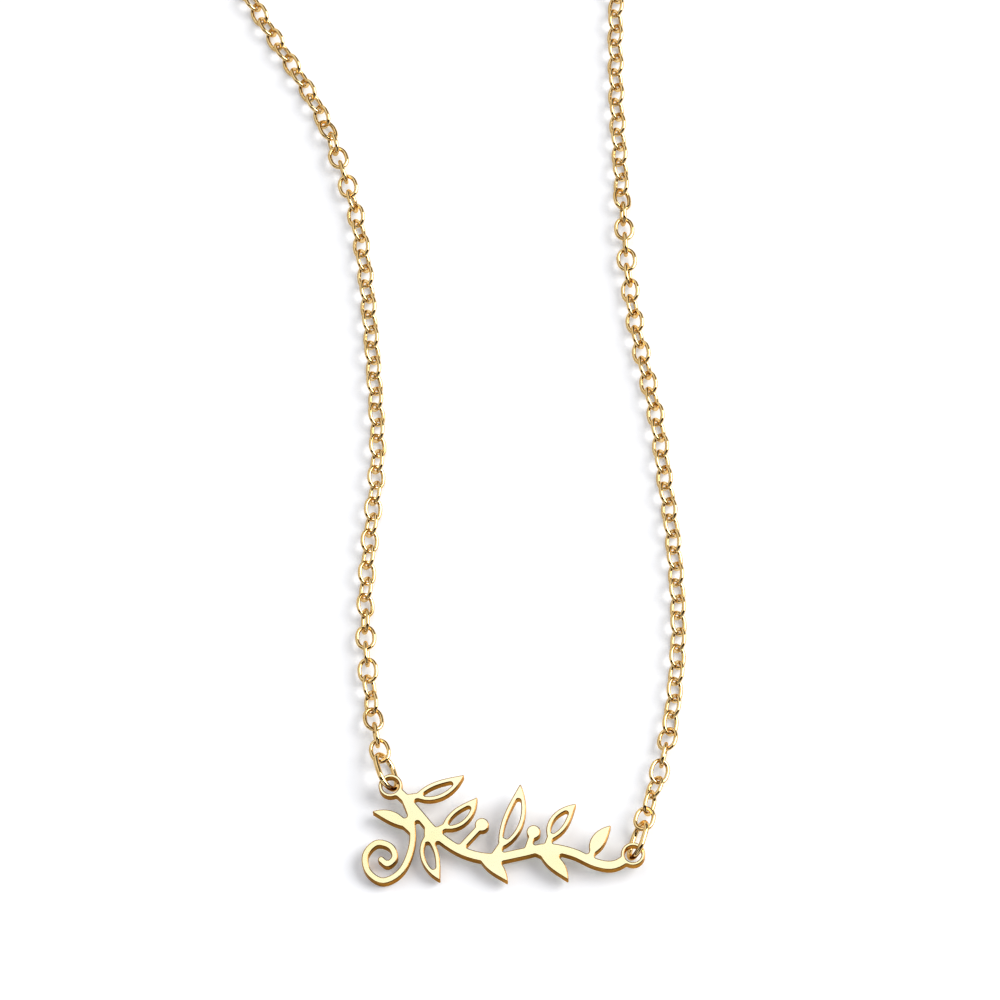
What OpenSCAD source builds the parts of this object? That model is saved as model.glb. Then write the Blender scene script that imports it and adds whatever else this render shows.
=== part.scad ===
// Nameplate necklace lying on a flat surface: a plate cut as a vine sprig from polished sheet,
// hung by two oval jump rings in a loop of cable chain with a spring-ring clasp at the back.
// Millimetres, +Z up. The surface is z = 0. The chain runs from the plate towards +Y.

/* [Plate] */
// Length of the plate, eye to eye side
plate_l = 30.8; // [27:0.2:35]
// Height of the plate from its lowest curl to its tallest leaf
plate_h = 12.4; // [11:0.2:14.4]
// Thickness of the sheet
plate_t = 1.2; // [0.8:0.05:1.4]
// Width of the main stem
stem_w = 1; // [0.8:0.05:1.2]
// Width of the tendril and of the leaf stalks
stalk_w = 0.7; // [0.6:0.05:0.85]
// Width of metal round the opening in a pierced leaf
leaf_band = 0.5; // [0.4:0.05:0.6]
// Bore of the two eyes
eye_bore = 1.85; // [1.6:0.05:2.1]
// Width of metal round an eye's bore
eye_rim = 0.37; // [0.34:0.01:0.6]

/* [Jump rings] */
// Length of a jump ring, outside
ring_l = 4.7; // [4.55:0.05:5.25]
// Width of a jump ring, outside
ring_w = 3.7; // [3.5:0.05:4]
// Wire of the jump rings
ring_d = 0.58; // [0.48:0.01:0.63]
// How far the left jump ring's left side leans up from flat, in degrees
ring_lean_left = 56; // [55:1:75]
// How far the right jump ring's right side leans up from flat, in degrees
ring_lean_right = 66; // [60:1:80]

/* [Chain] */
// Length of a link, outside
link_l = 3.02; // [2.8:0.02:3.4]
// Width of a link, outside
link_w = 2.3; // [2.12:0.02:2.52]
// Wire of the links
link_d = 0.44; // [0.36:0.01:0.46]
// Smallest clearance between wires that hook together
hook_gap = 0.14; // [0.12:0.01:0.18]

/* [Clasp] */
// Outside diameter of the clasp's ring
clasp_od = 6; // [5.5:0.1:7]
// Thickness of the clasp's tube
clasp_d = 1.1; // [0.9:0.05:1.2]
// Bore of the clasp's eyelet
eyelet_bore = 1.5; // [1.3:0.05:1.8]
// Wire of the clasp's eyelet
eyelet_d = 0.7; // [0.55:0.05:0.8]
// Length of the thumb lever outside the clasp's tube
lever_l = 1; // [0.7:0.1:1.4]
// Diameter of the thumb lever
lever_d = 0.65; // [0.5:0.05:0.8]
// Outside diameter of the two round end rings
end_ring_od = 3.6; // [3.4:0.1:4.2]

/* [Hidden] */
$fn = 48;

// The chain's way on the left, from the plate's upper left corner, and on the right, from its upper
// right one. The first points follow the strands, and the rest take the plain way round the loop.
way_left = [
    [1.9, 3], [1.1, 7.6], [0.4, 14.6], [0.2, 21.1], [0.6, 28.6], [1.2, 35.6], [1.3, 41.6],
    [0.7, 50.6], [0.2, 56.6], [-0.4, 62.6], [-1.5, 69.6], [-3.3, 76.1], [-5.6, 82.6], [-8.4, 88.1],
    [-11, 92.6], [-14, 98.1], [-19.5, 108.6], [-24.5, 120.5], [-27.3, 132.5], [-27.8, 145],
    [-26, 156.5], [-21, 167.5], [-13.5, 178], [-5, 184.4]
];
way_right = [
    [1.8, 2.1], [3, 8.6], [3.7, 16.6], [3.6, 23.6], [3.1, 30.6], [2.4, 36.6], [1.8, 42.6],
    [0.7, 48.6], [-0.6, 55.6], [-1.4, 63.1], [-1.8, 70.1], [-2.1, 77.6], [-2.4, 85.6],
    [-2.3, 97.6], [-1.3, 107.6], [2.2, 119], [7, 130], [10, 141.5], [10.8, 153.5],
    [8.5, 165], [2.6, 175], [-7.3, 184]
];
// Middle of the clasp's ring, from the plate's upper left corner
clasp_at = [6.5, 185.8];

// How far a link leans up from flat along each strand: [link number, degrees]. Every second
// link leans a quarter turn further, and the end rings go on with the last lean.
back_lean = 45;
lean_left = [
    [0, -6], [2, 14], [5, 78], [7, 90], [9, 126], [16, 124], [22, 132], [30, 140],
    [34, 146], [36, 168], [38, 182], [41, 222], [50, 180 + back_lean]
];
lean_right = [
    [0, -4], [6, -134], [10, -138], [20, -136], [26, -126], [33, -120],
    [35, -92], [38, -82], [39, -60], [40, -48], [44, -40], [60, -back_lean]
];

// Stem of the sprig from the left eye to the right one, as shares of the plate's length and height
stem = [
    [0.106, 0.895], [0.155, 0.785], [0.208, 0.625], [0.272, 0.44], [0.36, 0.29], [0.46, 0.23],
    [0.56, 0.27], [0.65, 0.315], [0.74, 0.27], [0.82, 0.175], [0.885, 0.155], [0.95, 0.25]
];
// Tendril that leaves the stem near the left eye and curls up below it, in the same shares
tendril = [
    [0.15, 0.8], [0.178, 0.6], [0.182, 0.36], [0.147, 0.13], [0.083, 0.035], [0.03, 0.12],
    [0.02, 0.27], [0.058, 0.375], [0.106, 0.345], [0.122, 0.25], [0.098, 0.185], [0.075, 0.225]
];

// Leaves: [foot, tip, widest, bow, pierced], foot and tip as shares of the plate's length and
// height, the widest place as a share of the leaf's length and the bow as a share to its left
leaves = [
    [[0.155, 0.785], [0.365, 0.985], 0.29, -0.08, true],
    [[0.184, 0.47], [0.04, 0.66], 0.26, -0.1, false],
    [[0.258, 0.475], [0.41, 0.78], 0.34, -0.08, true],
    [[0.236, 0.53], [0.28, 0.03], 0.32, -0.08, true],
    [[0.46, 0.23], [0.56, 0.9], 0.26, -0.08, true],
    [[0.39, 0.265], [0.515, 0.01], 0.3, 0.1, false],
    [[0.65, 0.315], [0.755, 0.71], 0.35, 0.08, true],
    [[0.6, 0.3], [0.725, 0.02], 0.3, 0.1, false],
    [[0.8, 0.195], [0.875, 0.51], 0.34, 0.08, false]
];
// Berries on stalks: [foot, middle], in the same shares
berries = [[[0.345, 0.31], [0.425, 0.53]], [[0.58, 0.28], [0.605, 0.46]]];
berry_od = 1.5;

// Fillet in the inner corners of the sprig and round on its tips
fillet_r = 0.25;
tip_r = 0.1;
// Steps of a smooth curve between two of its points, in the sprig and in the chain's way
curve_steps = 5;
way_steps = 8;
leaf_steps = 14;
// Where a leaf's blade starts, as a share of its length
blade_start = 0.16;
// How far beyond an eye's centre the jump ring's wire passes, seen from the chain
ring_seat = 0.3;
// Extra clearance between a leaning ring and the link that it hooks, and between an end ring
// and the clasp
lean_gap = 0.08;
clasp_gap = 0.4;
// Number of links over which the chain rises to the ring that holds it
rise_links = 4;
gold = [0.93, 0.79, 0.47];

eye_left = share(stem[0]);
eye_right = share(stem[len(stem) - 1]);

// Heights of the jump rings' middles. The plate lies on its curl, with each eye held level with
// the middle of its ring: the plate's rise per millimetre in x and y.
jump_h_left = leaning_height(ring_w, ring_d, ring_lean_left);
jump_h_right = leaning_height(ring_w, ring_d, ring_lean_right);
eye_lift = [jump_h_left - plate_t / 2, jump_h_right - plate_t / 2];
curl_x = tendril[5].x * plate_l;
from_curl = [eye_left - [curl_x, 0], eye_right - [curl_x, 0]];
turn = cross(from_curl[0], from_curl[1]);
rise_x = (eye_lift[0] * from_curl[1].y - eye_lift[1] * from_curl[0].y) / turn;
rise_y = (eye_lift[1] * from_curl[0].x - eye_lift[0] * from_curl[1].x) / turn;
plate_x = unit([1, 0, rise_x]);
plate_z = unit([-rise_x, -rise_y, 1]);
plate_y = cross(plate_z, plate_x);

// The ways and the clasp's place from the plate's lower left corner
upper_left = [0, plate_h];
upper_right = [plate_l, plate_h];
strand_left = [for (p = way_left) p + upper_left];
strand_right = [for (p = way_right) p + upper_right];
clasp_place = clasp_at + upper_left;

// Jump rings: [middle, heading], with the heading from the eye towards the chain
jump_left = hooked(eye_left, strand_left[0]);
jump_right = hooked(eye_right, strand_right[0]);

// End rings and clasp, in a row along X at the back of the loop
end_r = (end_ring_od - ring_d) / 2;
end_h = leaning_height(end_ring_od, ring_d, back_lean);
clasp_r = (clasp_od - clasp_d) / 2;
eyelet_r = (eyelet_bore + eyelet_d) / 2;
eyelet_x = clasp_r + eyelet_r;
// From the inner side of what a round end ring hooks to the ring's middle
end_hook = end_r - ring_d / 2 - hook_gap - clasp_gap;
end_left = clasp_place - [clasp_r - clasp_d / 2 + end_hook, 0];
end_right = clasp_place + [eyelet_x + eyelet_bore / 2 + end_hook, 0];
// From a ring's middle to where the first link's share of the way starts
end_reach = end_r - ring_d / 2 - hook_gap / 2 - lean_gap;
jump_reach = ring_l / 2 - ring_d - hook_gap / 2 - lean_gap;

way_whole_left = smooth(concat([jump_left[0] + jump_left[1] * jump_reach], strand_left,
                               [end_left - [end_reach, 0]]), way_steps);
way_whole_right = smooth(concat([jump_right[0] + jump_right[1] * jump_reach], strand_right,
                                [end_right + [end_reach, 0]]), way_steps);
count_left = link_count(way_whole_left);
count_right = link_count(way_whole_right);

// Middle of the whole, which becomes the origin
far_y = clasp_place.y + clasp_od / 2 + lever_l;
middle = [(min([for (p = way_whole_left) p.x]) + max([for (p = way_whole_right) p.x])) / 2, far_y / 2];

function unit(v) = v / norm(v);
function across(v) = unit([-v.y, v.x]);
function share(p) = [p.x * plate_l, p.y * plate_h];
function leaning_height(w, d, lean) = (w - d) / 2 * abs(sin(lean)) + d / 2;
function hooked(eye, towards) =
    let (u = unit(towards - eye))
    [eye + u * ((ring_l - ring_d) / 2 - ring_seat), u];

// One point of a smooth curve between b and c
function between(a, b, c, d, t) =
    (2 * b + (c - a) * t + (2 * a - 5 * b + 4 * c - d) * t * t + (3 * b - a - 3 * c + d) * t * t * t) / 2;

// Smooth curve through the points p, with n steps to each stretch
function smooth(p, n) =
    let (last = len(p) - 1, q = concat([2 * p[0] - p[1]], p, [2 * p[last] - p[last - 1]]))
    concat([for (i = [0:last - 1], j = [0:n - 1]) between(q[i], q[i + 1], q[i + 2], q[i + 3], j / n)],
           [p[last]]);

// Length of the curve c up to each of its points
function lengths(c) =
    [for (i = 0, s = 0; i < len(c); s = s + (i + 1 < len(c) ? norm(c[i + 1] - c[i]) : 0), i = i + 1) s];

// Links in a chain: an even number, so that the end rings keep one lean
function link_count(way) =
    let (s = lengths(way))
    2 * ceil(s[len(s) - 1] / (link_l - 2 * link_d - hook_gap) / 2);

// Lean of link k, and of the ring after the last link
function lean_of(k, leans) = lookup(k, leans) + k % 2 * 90;

// Height of the chain's axis at the hook before link k. The more upright of the two links at
// the hook touches the surface, and near its ends the chain rises to the rings that hold it.
function axis_height(k, count, leans, start_h) =
    touching_height(k, count, leans) +
    (start_h - touching_height(0, count, leans)) * max(0, 1 - k / rise_links) +
    (end_h - touching_height(count, count, leans)) * max(0, 1 - (count - k) / rise_links);
function touching_height(k, count, leans) =
    let (next = min(max(k, 1), count - 1))
    max([for (i = [next - 1, next]) leaning_height(link_w, link_d, lean_of(i, leans))]);

// A ribbon along the curve c, with half[i] to each side of its point i
function ribbon(c, half) =
    let (last = len(c) - 1,
         side = [for (i = [0:last]) across(c[min(i + 1, last)] - c[max(i - 1, 0)])])
    concat([for (i = [0:last]) c[i] + side[i] * half[i]],
           [for (i = [last:-1:0]) c[i] - side[i] * half[i]]);

// A ribbon of one width with round ends
module band(points, width) {
    c = smooth([for (p = points) share(p)], curve_steps);
    polygon(ribbon(c, [for (p = c) width / 2]));
    for (p = [c[0], c[len(c) - 1]])
        translate(p)
            circle(d = width, $fn = 24);
}

// Axis of a leaf from its foot to its tip
function leaf_axis(leaf) =
    let (foot = share(leaf[0]), tip = share(leaf[1]), n = leaf_steps,
         control = (foot + tip) / 2 + across(tip - foot) * 2 * leaf[3] * norm(tip - foot))
    [for (i = [0:n]) let (t = i / n) foot * (1 - t) ^ 2 + control * 2 * t * (1 - t) + tip * t ^ 2];

module blade(leaf) {
    c = leaf_axis(leaf);
    first = floor(blade_start * leaf_steps);
    n = leaf_steps - first;
    widest = leaf[2] * norm(c[leaf_steps] - c[0]);
    half = [for (i = [0:n]) let (t = (i / n) ^ 0.85) widest * 2 * t * (1 - t)];
    polygon(ribbon([for (i = [0:n]) c[first + i]], half));
}

module leaf(leaf) {
    difference() {
        blade(leaf);
        if (leaf[4])
            offset(delta = -leaf_band)
                blade(leaf);
    }
    stalk = [for (i = [0:ceil(blade_start * leaf_steps) + 1]) leaf_axis(leaf)[i]];
    polygon(ribbon(stalk, [for (p = stalk) stalk_w / 2]));
}

module berry(berry) {
    foot = share(berry[0]);
    place = share(berry[1]);
    polygon(ribbon([foot, place], [stalk_w / 2, stalk_w / 2]));
    translate(place)
        circle(d = berry_od);
}

module sprig() {
    offset(r = -fillet_r, $fn = 24)
        offset(delta = fillet_r)
            offset(r = tip_r, $fn = 24)
                offset(delta = -tip_r) {
                    band(stem, stem_w);
                    band(tendril, stalk_w);
                    for (leaf = leaves)
                        leaf(leaf);
                    for (berry = berries)
                        berry(berry);
                    for (eye = [eye_left, eye_right])
                        translate(eye)
                            circle(d = eye_bore + 2 * eye_rim);
                }
}

module oval_ring(l, w, d) {
    end_radius = (w - d) / 2;
    side = (l - w) / 2;
    for (s = [0, 1])
        mirror([s, 0, 0])
            translate([side, 0, 0])
                rotate_extrude(angle = 180, start = -90)
                    translate([end_radius, 0])
                        circle(d = d);
    for (s = [-1, 1])
        translate([-side, s * end_radius, 0])
            rotate([0, 90, 0])
                cylinder(d = d, h = 2 * side);
}

module round_ring(r, d) {
    rotate_extrude()
        translate([r, 0])
            circle(d = d);
}

// Puts a ring that lies along X at a place, turned to a heading and leaning up
module laid(place, heading, lean) {
    translate(place - [middle.x, middle.y, 0])
        rotate([0, -asin(heading.z / norm(heading)), atan2(heading.y, heading.x)])
            rotate([lean, 0, 0])
                children();
}

module jump_ring(jump, height, lean) {
    color(gold)
        laid([jump[0].x, jump[0].y, height], [jump[1].x, jump[1].y, 0], lean)
            oval_ring(ring_l, ring_w, ring_d);
}

module end_ring(place, heading, lean) {
    color(gold)
        laid([place.x, place.y, end_h], heading, lean)
            round_ring(end_r, ring_d);
}

// Links hooked through each other along a way, each with its share of the way's length
module chain(way, count, leans, start_h) {
    s = lengths(way);
    along_x = [for (i = [0:len(s) - 1]) [s[i], way[i].x]];
    along_y = [for (i = [0:len(s) - 1]) [s[i], way[i].y]];
    pitch = s[len(s) - 1] / count;
    hooks = [
        for (k = [0:count])
            [lookup(k * pitch, along_x), lookup(k * pitch, along_y), axis_height(k, count, leans, start_h)]
    ];
    color(gold)
        for (k = [0:count - 1])
            laid((hooks[k] + hooks[k + 1]) / 2, hooks[k + 1] - hooks[k], lean_of(k, leans))
                oval_ring(link_l, link_w, link_d);
}

module nameplate() {
    color(gold)
        translate([-middle.x, -middle.y, 0])
            multmatrix([for (r = [0:2]) [plate_x[r], plate_y[r], plate_z[r], r == 2 ? -rise_x * curl_x : 0]])
                difference() {
                    linear_extrude(plate_t)
                        sprig();
                    for (eye = [eye_left, eye_right])
                        translate([eye.x, eye.y, -1])
                            cylinder(d = eye_bore, h = plate_t + 2);
                }
}

module jump_ring_left() {
    jump_ring(jump_left, jump_h_left, ring_lean_left);
}

module jump_ring_right() {
    jump_ring(jump_right, jump_h_right, -ring_lean_right);
}

module chain_left() {
    chain(way_whole_left, count_left, lean_left, jump_h_left);
}

module chain_right() {
    chain(way_whole_right, count_right, lean_right, jump_h_right);
}

module end_ring_left() {
    end_ring(end_left, [1, 0, 0], lean_of(count_left, lean_left));
}

module end_ring_right() {
    end_ring(end_right, [-1, 0, 0], lean_of(count_right, lean_right));
}

// Spring-ring clasp, closed: its tube, the eyelet soldered to it and the thumb lever
module clasp() {
    color(gold)
        translate([clasp_place.x - middle.x, clasp_place.y - middle.y, end_h]) {
            round_ring(clasp_r, clasp_d);
            translate([eyelet_x, 0, 0])
                round_ring(eyelet_r, eyelet_d);
            translate([0, clasp_r, 0])
                rotate([-90, 0, 0])
                    cylinder(d = lever_d, h = clasp_d / 2 + lever_l);
        }
}

nameplate();
jump_ring_left();
jump_ring_right();
chain_left();
chain_right();
end_ring_left();
end_ring_right();
clasp();
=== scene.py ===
import math

import bmesh
import bpy
import numpy as np
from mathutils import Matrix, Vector


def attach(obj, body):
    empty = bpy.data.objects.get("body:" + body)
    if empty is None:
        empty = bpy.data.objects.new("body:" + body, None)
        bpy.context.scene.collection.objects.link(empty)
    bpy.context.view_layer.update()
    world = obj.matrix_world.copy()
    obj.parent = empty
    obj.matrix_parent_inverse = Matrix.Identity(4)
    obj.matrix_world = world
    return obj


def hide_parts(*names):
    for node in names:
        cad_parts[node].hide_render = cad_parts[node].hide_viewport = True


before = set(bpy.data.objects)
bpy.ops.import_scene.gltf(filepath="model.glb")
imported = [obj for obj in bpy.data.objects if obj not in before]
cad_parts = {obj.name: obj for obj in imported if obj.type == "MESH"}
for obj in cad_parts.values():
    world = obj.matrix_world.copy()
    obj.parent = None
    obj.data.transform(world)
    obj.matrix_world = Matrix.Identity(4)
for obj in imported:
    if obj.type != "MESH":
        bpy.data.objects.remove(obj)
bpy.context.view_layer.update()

MM = 0.001

# Sizes of the wires, the same as in the solids
LINK_LENGTH = 3.02 * MM
LINK_WIDTH = 2.3 * MM
LINK_WIRE = 0.44 * MM
JUMP_LENGTH = 4.7 * MM
JUMP_WIDTH = 3.7 * MM
RING_WIRE = 0.58 * MM
END_RING_OD = 3.6 * MM
# How far a link's sides bulge, from straight at 0 to an oval's at 1
LINK_BELLY = 0.6

# Steps along each half of a link and of an oval ring, and right round a round ring
LINK_STEPS = 16
JUMP_STEPS = 28
END_STEPS = 64
# Sides of the round wires
LINK_SIDES = 16
RING_SIDES = 24

# Rounded edges of the plate's face and back, and the steps that round them
EDGE_RADIUS = 0.09 * MM
EDGE_STEPS = 3

# Corners nearer than this are the same point
SAME_POINT = 0.001 * MM
# Least rise in the normal of the faces that make the plate's flat top
LOOKS_UP = 0.9
# The steps into the metal at a sharp tip are lengthened by no more than one over this
SHARPEST = 0.7

# Grain of the gold, in noise per metre: clouds of tone, uneven polish and orange peel
CLOUD_SCALE = 900
FACE_CLOUD_SCALE = 70
POLISH_SCALE = 2600
PEEL_SCALE = 9000
PEEL_HEIGHT = 0.004 * MM
# Colour of gold at a glancing angle
GOLD_GLANCE = (0.95, 0.72, 0.42)

# Light of the room, the product of three levels: by height, by place to the right and by place behind
ROOM_BY_HEIGHT = ((0, 0.3), (0.12, 0.3), (0.3, 0.9), (1, 1))
ROOM_BY_SIDE = ((-1, 0.6), (-0.6, 0.8), (0, 1), (0.06, 1), (0.11, 0), (0.45, 0), (0.6, 0.5), (1, 0.5))
ROOM_BY_DEPTH = ((-1, 0.7), (-0.62, 0.7), (-0.54, 0), (-0.33, 0), (-0.19, 1), (1, 1))
ROOM_DARK = (0.035, 0.016, 0.006)
ROOM_WHITE = (1, 1, 1)
ROOM_STRENGTH = 1.33

# White paper on the floor, and its faint glow, which keeps the shadows pale
FLOOR_SIZE = 6
PAPER_GREY = 0.7
PAPER_ROUGHNESS = 0.9
PAPER_GLOSS = 0.1
PAPER_GLOW = 0.34
GLOW_COLOUR = (0.86, 0.91, 0.99)

# Contrast of the picture
FILM_GAMMA = 0.7

# Camera: the picture's middle on the floor, the photograph's angle, and its long lens in millimetres of film
VIEW_MIDDLE = Vector((8.095, -54.896, 0)) * MM
VIEW_ELEVATION = math.radians(64)
VIEW_DISTANCE = 551.7 * MM
LENS = 178.7
FILM_WIDTH = 36
NEAREST_SEEN = 0.01


# Objects

def new_object(name, data):
    made = bpy.data.objects.new(name, data)
    bpy.context.scene.collection.objects.link(made)
    return made


def finish_piece(piece, nodes):
    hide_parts(*nodes)
    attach(piece, "root")


# Materials

def set_inputs(node, values):
    for socket, value in values.items():
        node.inputs[socket].default_value = value


def link(tree, source, socket, target, into):
    tree.links.new(source.outputs[socket], target.inputs[into])


def new_material(name):
    """A new material and its shader."""
    material = bpy.data.materials.new(name)
    material.use_nodes = True
    return material, material.node_tree.nodes["Principled BSDF"]


def noise(tree, scale, detail=3.0, drawn_out=1.0):
    """Noise in the piece's own metres, drawn out upward by the given factor."""
    place = tree.nodes.new("ShaderNodeTexCoord")
    stretch = tree.nodes.new("ShaderNodeMapping")
    stretch.inputs["Scale"].default_value = (1, 1, 1 / drawn_out)
    node = tree.nodes.new("ShaderNodeTexNoise")
    set_inputs(node, {"Scale": scale, "Detail": detail, "Roughness": 0.55})
    link(tree, place, "Object", stretch, "Vector")
    link(tree, stretch, "Vector", node, "Vector")
    return node


def spread_over(tree, source, socket, low, high, from_low=0.3, from_high=0.7):
    """Brings a value to the given range, from the middle of noise's range unless another is given."""
    node = tree.nodes.new("ShaderNodeMapRange")
    set_inputs(node, {"From Min": from_low, "From Max": from_high, "To Min": low, "To Max": high})
    link(tree, source, socket, node, "Value")
    return node


def mix_colours(tree, first, second):
    node = tree.nodes.new("ShaderNodeMix")
    node.data_type = "RGBA"
    set_inputs(node, {"A": (*first, 1), "B": (*second, 1)})
    return node


def bump(tree, shader, source, distance, strength):
    node = tree.nodes.new("ShaderNodeBump")
    set_inputs(node, {"Distance": distance, "Strength": strength})
    link(tree, source, "Fac", node, "Height")
    link(tree, node, "Normal", shader, "Normal")


def polished_gold(name, pale, deep, rough_low, rough_high, cloud_scale=CLOUD_SCALE, drawn_out=1.0,
                  peel_depth=0.15):
    """Gold, polished: faint clouds of tone, uneven polish and a very fine orange peel."""
    material, shader = new_material(name)
    tree = material.node_tree
    set_inputs(shader, {"Metallic": 1.0, "Specular Tint": (*GOLD_GLANCE, 1)})
    clouds = noise(tree, cloud_scale)
    tone = spread_over(tree, clouds, "Fac", 0, 1)
    colour = mix_colours(tree, pale, deep)
    link(tree, tone, "Result", colour, "Factor")
    link(tree, colour, "Result", shader, "Base Color")
    polish = noise(tree, POLISH_SCALE, drawn_out=drawn_out)
    rough = spread_over(tree, polish, "Fac", rough_low, rough_high)
    link(tree, rough, "Result", shader, "Roughness")
    peel = noise(tree, PEEL_SCALE, detail=2, drawn_out=drawn_out)
    bump(tree, shader, peel, PEEL_HEIGHT, peel_depth)
    return material


def white_paper():
    material, shader = new_material("white_paper")
    set_inputs(shader, {"Roughness": PAPER_ROUGHNESS, "Specular IOR Level": PAPER_GLOSS,
                        "Base Color": (PAPER_GREY, PAPER_GREY, PAPER_GREY, 1),
                        "Emission Color": (*GLOW_COLOUR, 1), "Emission Strength": PAPER_GLOW})
    return material


# Golds of the wires, of the plate's face and of its cut edge. The face and the edge are lit and shaded
# copies of one gold: the face's is painted paler as painted light, the edge's darker and browner as painted
# shade

wire_gold = polished_gold("wire_gold", pale=(0.84, 0.69, 0.42), deep=(0.77, 0.58, 0.3),
                          rough_low=0.03, rough_high=0.08)
# Face gold painted paler than the wires': painted light, standing for the bright reflection on the flat face
face_gold_painted_light = polished_gold("face_gold_painted_light", pale=(0.82, 0.8, 0.64), deep=(0.78, 0.755, 0.5),
                          rough_low=0.08, rough_high=0.13, cloud_scale=FACE_CLOUD_SCALE, peel_depth=0.04)
# Edge gold painted dark brown: painted shade, standing for the shaded floor that the side walls reflect
edge_gold_painted_shade = polished_gold("edge_gold_painted_shade", pale=(0.57, 0.36, 0.14), deep=(0.36, 0.19, 0.06),
                          rough_low=0.06, rough_high=0.16, drawn_out=20)


# Wires

def ring_path(length, width, wire, steps, belly=0):
    """Closed centre line of a ring with round ends, its long way along X, whose sides bulge by the belly."""
    radius = (width - wire) / 2
    side = (length - width) / 2
    turn = np.linspace(-math.pi / 2, math.pi / 2, steps + 1)
    bulge = side * (1 - belly + belly * np.cos(turn))
    right = np.c_[bulge + radius * np.cos(turn), radius * np.sin(turn), 0 * turn]
    return np.r_[right, -right]


def round_path(radius, steps):
    """Closed centre line of a round ring."""
    turn = np.linspace(0, 2 * math.pi, steps, endpoint=False)
    return np.c_[radius * np.cos(turn), radius * np.sin(turn), 0 * turn]


def wire_ring(path, wire, sides):
    """Points and faces of a round wire along a flat closed path."""
    count = len(path)
    along = np.roll(path, -1, 0) - np.roll(path, 1, 0)
    along /= np.linalg.norm(along, axis=1)[:, None]
    up = np.array([0.0, 0.0, 1.0])
    out = np.cross(along, up)
    angles = np.linspace(0, 2 * math.pi, sides, endpoint=False)
    points = (path[:, None]
              + wire / 2 * (np.cos(angles)[None, :, None] * out[:, None]
                            + np.sin(angles)[None, :, None] * up))
    faces = []
    for i in range(count):
        j = (i + 1) % count
        for a in range(sides):
            b = (a + 1) % sides
            faces.append((i * sides + a, j * sides + a, j * sides + b, i * sides + b))
    return points.reshape(-1, 3), faces


def loose_parts(node):
    """Corner points of the triangles of each closed solid in a CAD node, one array per solid."""
    bm = bmesh.new()
    bm.from_mesh(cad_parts[node].data)
    bmesh.ops.remove_doubles(bm, verts=bm.verts, dist=SAME_POINT)
    bmesh.ops.triangulate(bm, faces=bm.faces)
    parts, seen = [], set()
    for start in bm.faces:
        if start in seen:
            continue
        seen.add(start)
        stack, found = [start], []
        while stack:
            face = stack.pop()
            found.append([vert.co[:] for vert in face.verts])
            for edge in face.edges:
                for other in edge.link_faces:
                    if other not in seen:
                        seen.add(other)
                        stack.append(other)
        parts.append(np.array(found))
    bm.free()
    return parts


def lie_of(part):
    """Middle of a closed solid and its axes, the longest way first, both measured over its surface."""
    areas = np.linalg.norm(np.cross(part[:, 1] - part[:, 0], part[:, 2] - part[:, 0]), axis=1) / 2
    middle = (areas[:, None] * part.mean(1)).sum(0) / areas.sum()
    local = part - middle
    total = local.sum(1)
    spread = np.einsum("f,fvi,fvj->ij", areas, local, local) + np.einsum("f,fi,fj->ij", areas, total, total)
    axes = np.linalg.eigh(spread)[1][:, ::-1]
    if np.linalg.det(axes) < 0:
        axes[:, 2] *= -1
    return middle, axes


def wire_piece(name, nodes, path, wire, sides):
    """Lays the same wire ring over each closed solid of the nodes and joins the rings in one piece."""
    ring, ring_faces = wire_ring(path, wire, sides)
    verts, faces = [], []
    for node in nodes:
        for part in loose_parts(node):
            middle, axes = lie_of(part)
            first = len(verts) * len(ring)
            verts.append(ring @ axes.T + middle)
            faces += [tuple(first + corner for corner in face) for face in ring_faces]
    mesh = bpy.data.meshes.new(name)
    mesh.from_pydata(np.concatenate(verts).tolist(), [], faces)
    mesh.validate()
    mesh.polygons.foreach_set("use_smooth", [True] * len(mesh.polygons))
    piece = new_object(name, mesh)
    piece.data.materials.append(wire_gold)
    finish_piece(piece, nodes)


# Plate

def outlines_round(faces):
    """Closed loops of corner points round the given faces, with the faces on their left."""
    inside = set(faces)
    after = {}
    for face in faces:
        for loop in face.loops:
            if loop.link_loop_radial_next.face not in inside:
                after[loop.vert] = loop.link_loop_next.vert
    outlines = []
    while after:
        vert = next(iter(after))
        outline = []
        while vert in after:
            outline.append(vert.co[:])
            vert = after.pop(vert)
        outlines.append(np.array(outline))
    return outlines


def plate_as_cut():
    """The CAD plate's outlines round its flat top, the way its face looks, and its thickness."""
    bm = bmesh.new()
    bm.from_mesh(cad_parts["nameplate"].data)
    bmesh.ops.remove_doubles(bm, verts=bm.verts, dist=SAME_POINT)
    bm.normal_update()
    top = [face for face in bm.faces if face.normal.z > LOOKS_UP]
    up = sum((face.normal * face.calc_area() for face in top), Vector()).normalized()
    heights = [vert.co.dot(up) for vert in bm.verts]
    outlines = outlines_round(top)
    bm.free()
    return outlines, np.array(up), max(heights) - min(heights)


def edge_levels(thickness):
    """Levels of the edge: inset, drop from the face, and the upward and outward parts of the normal."""
    upper = []
    for bend in np.linspace(0, math.pi / 2, EDGE_STEPS + 1):
        rise, lean = math.cos(bend), math.sin(bend)
        upper.append((EDGE_RADIUS * (1 - lean), EDGE_RADIUS * (1 - rise), rise, lean))
    lower = [(inset, thickness - drop, -rise, lean) for inset, drop, rise, lean in reversed(upper)]
    return upper + lower


def inward(outline, up):
    """Steps from a loop's points into the metal, longer at corners so that each side moves by one."""
    ahead = np.roll(outline, -1, 0) - outline
    ahead /= np.linalg.norm(ahead, axis=1)[:, None]
    left = np.cross(up, ahead)
    both = left + np.roll(left, 1, 0)
    both /= np.linalg.norm(both, axis=1)[:, None]
    return both / np.maximum((both * left).sum(1), SHARPEST)[:, None]


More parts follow.
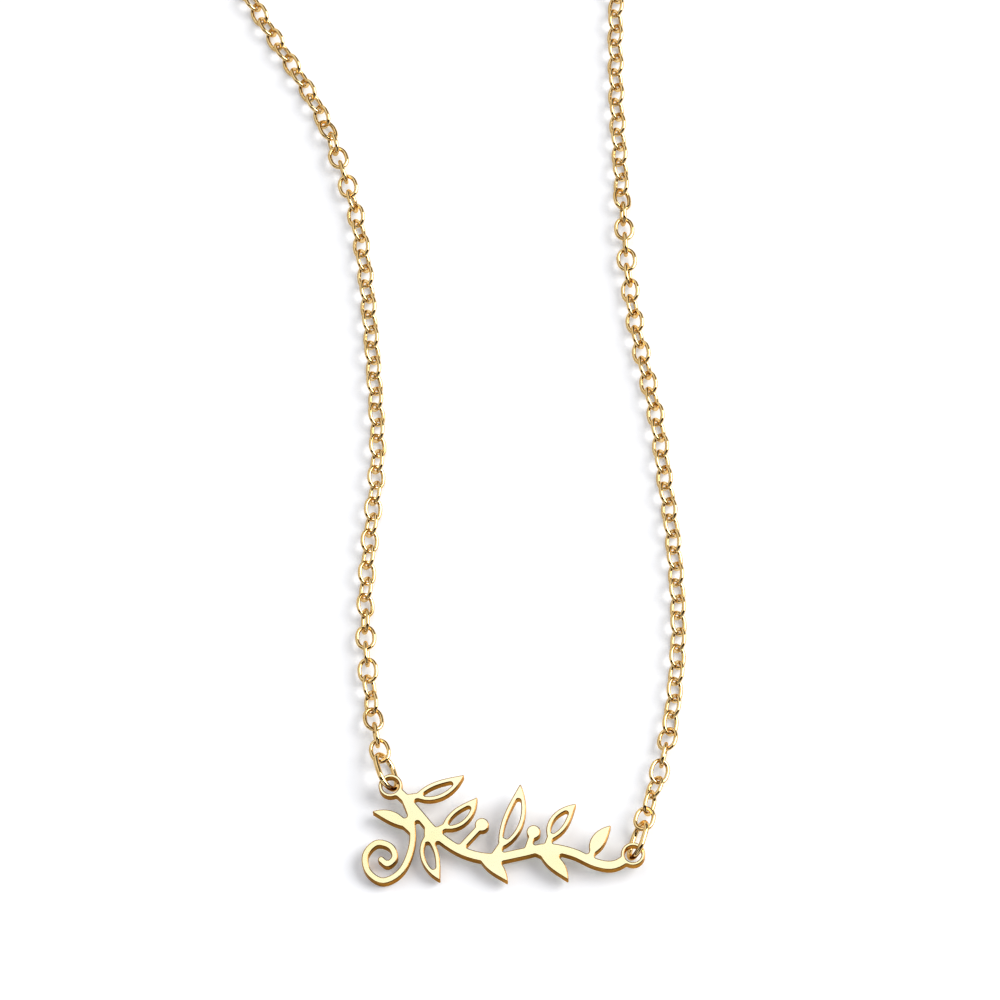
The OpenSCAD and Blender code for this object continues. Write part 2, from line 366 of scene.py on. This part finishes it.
def edge_band(bm, outline, levels, up):
    """Rows of corners down the edge along one outline, joined by faces in the edge's gold with its painted
    shade, and normals.
    """
    step = inward(outline, up)
    out = -step / np.linalg.norm(step, axis=1)[:, None]
    rows = []
    normals = []
    for inset, drop, rise, lean in levels:
        rows.append([bm.verts.new(point) for point in outline + step * inset - up * drop])
        normals += (up * rise + out * lean).tolist()
    count = len(outline)
    for above, below in zip(rows, rows[1:]):
        for i in range(count):
            j = (i + 1) % count
            face = bm.faces.new((above[i], below[i], below[j], above[j]))
            # The edge's gold, with its painted shade
            face.material_index = 1
    return rows, normals


def plate_piece():
    """The plate as cut, with the edges of its face and back rounded by polishing."""
    outlines, up, thickness = plate_as_cut()
    levels = edge_levels(thickness)
    bm = bmesh.new()
    rims = ([], [])
    normals = []
    for outline in outlines:
        rows, row_normals = edge_band(bm, outline, levels, up)
        normals += row_normals
        for rim, row in zip(rims, (rows[0], rows[-1])):
            rim += [bm.edges.get(pair) for pair in zip(row, row[1:] + row[:1])]
    for rim, way in zip(rims, (up, -up)):
        bmesh.ops.triangle_fill(bm, edges=rim, use_beauty=True, normal=Vector(way))
    for face in bm.faces:
        face.smooth = True
    mesh = bpy.data.meshes.new("sprig_plate")
    bm.to_mesh(mesh)
    bm.free()
    mesh.normals_split_custom_set_from_vertices(normals)
    piece = new_object("sprig_plate", mesh)
    # The face's gold with its painted light, then the edge's with its painted shade
    piece.data.materials.append(face_gold_painted_light)
    piece.data.materials.append(edge_gold_painted_shade)
    finish_piece(piece, ["nameplate"])


# Floor, light and camera

def floor():
    bpy.ops.mesh.primitive_plane_add(size=FLOOR_SIZE)
    plane = bpy.context.object
    plane.name = "floor"
    plane.data.materials.append(white_paper())


def soft_box(name, azimuth, elevation, distance, size, power):
    """A square lamp that faces the picture's middle. Azimuth 0 is behind it, 90 is to its right."""
    lamp = bpy.data.lights.new(name, "AREA")
    lamp.shape = "SQUARE"
    lamp.size = size
    lamp.energy = power
    box = new_object(name, lamp)
    turn, rise = math.radians(azimuth), math.radians(elevation)
    way = Vector((math.sin(turn) * math.cos(rise), math.cos(turn) * math.cos(rise), math.sin(rise)))
    box.location = VIEW_MIDDLE + way * distance
    box.rotation_euler = (-way).to_track_quat("-Z", "Y").to_euler()


def ramp(tree, source, socket, levels, lowest):
    """Grey levels at the given places, which run from the lowest one to 1."""
    node = tree.nodes.new("ShaderNodeValToRGB")
    stops = node.color_ramp.elements
    while len(stops) < len(levels):
        stops.new(0.5)
    for stop, (place, level) in zip(stops, levels):
        stop.position = (place - lowest) / (1 - lowest)
        stop.color = (level, level, level, 1)
    place = spread_over(tree, source, socket, 0, 1, from_low=lowest, from_high=1)
    link(tree, place, "Result", node, "Fac")
    return node


def surroundings():
    """White overhead, dimmer low down and at both sides, with dark bands in front and left of the lamp."""
    world = bpy.data.worlds.new("room")
    bpy.context.scene.world = world
    world.use_nodes = True
    tree = world.node_tree
    background = tree.nodes["Background"]
    place = tree.nodes.new("ShaderNodeTexCoord")
    way = tree.nodes.new("ShaderNodeSeparateXYZ")
    link(tree, place, "Generated", way, "Vector")
    light = ramp(tree, way, "Z", ROOM_BY_HEIGHT, lowest=0)
    for socket, levels in (("X", ROOM_BY_SIDE), ("Y", ROOM_BY_DEPTH)):
        both = tree.nodes.new("ShaderNodeMath")
        both.operation = "MULTIPLY"
        tree.links.new(light.outputs[0], both.inputs[0])
        tree.links.new(ramp(tree, way, socket, levels, lowest=-1).outputs[0], both.inputs[1])
        light = both
    colour = mix_colours(tree, ROOM_DARK, ROOM_WHITE)
    link(tree, light, "Value", colour, "Factor")
    link(tree, colour, "Result", background, "Color")
    background.inputs["Strength"].default_value = ROOM_STRENGTH


def camera():
    lens = bpy.data.cameras.new("camera")
    lens.lens = LENS
    lens.sensor_width = FILM_WIDTH
    lens.clip_start = NEAREST_SEEN
    view = new_object("camera", lens)
    back = Vector((0, -math.cos(VIEW_ELEVATION), math.sin(VIEW_ELEVATION)))
    view.location = VIEW_MIDDLE + back * VIEW_DISTANCE
    view.rotation_euler = (-back).to_track_quat("-Z", "Y").to_euler()
    bpy.context.scene.camera = view


# Necklace

link_path = ring_path(LINK_LENGTH, LINK_WIDTH, LINK_WIRE, LINK_STEPS, belly=LINK_BELLY)
jump_path = ring_path(JUMP_LENGTH, JUMP_WIDTH, RING_WIRE, JUMP_STEPS)
end_path = round_path((END_RING_OD - RING_WIRE) / 2, END_STEPS)
for side in ("left", "right"):
    wire_piece(f"links_{side}", [f"chain_{side}"], link_path, LINK_WIRE, LINK_SIDES)
    wire_piece(f"oval_ring_{side}", [f"jump_ring_{side}"], jump_path, RING_WIRE, RING_SIDES)
    wire_piece(f"round_ring_{side}", [f"end_ring_{side}"], end_path, RING_WIRE, RING_SIDES)

plate_piece()

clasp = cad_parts["clasp"]
clasp.data.materials.clear()
clasp.data.materials.append(wire_gold)

# Setting

floor()
soft_box("key", azimuth=78, elevation=40, distance=2.5, size=2.2, power=70)
surroundings()
camera()
bpy.context.scene.view_settings.view_transform = "Standard"
bpy.context.scene.view_settings.gamma = FILM_GAMMA
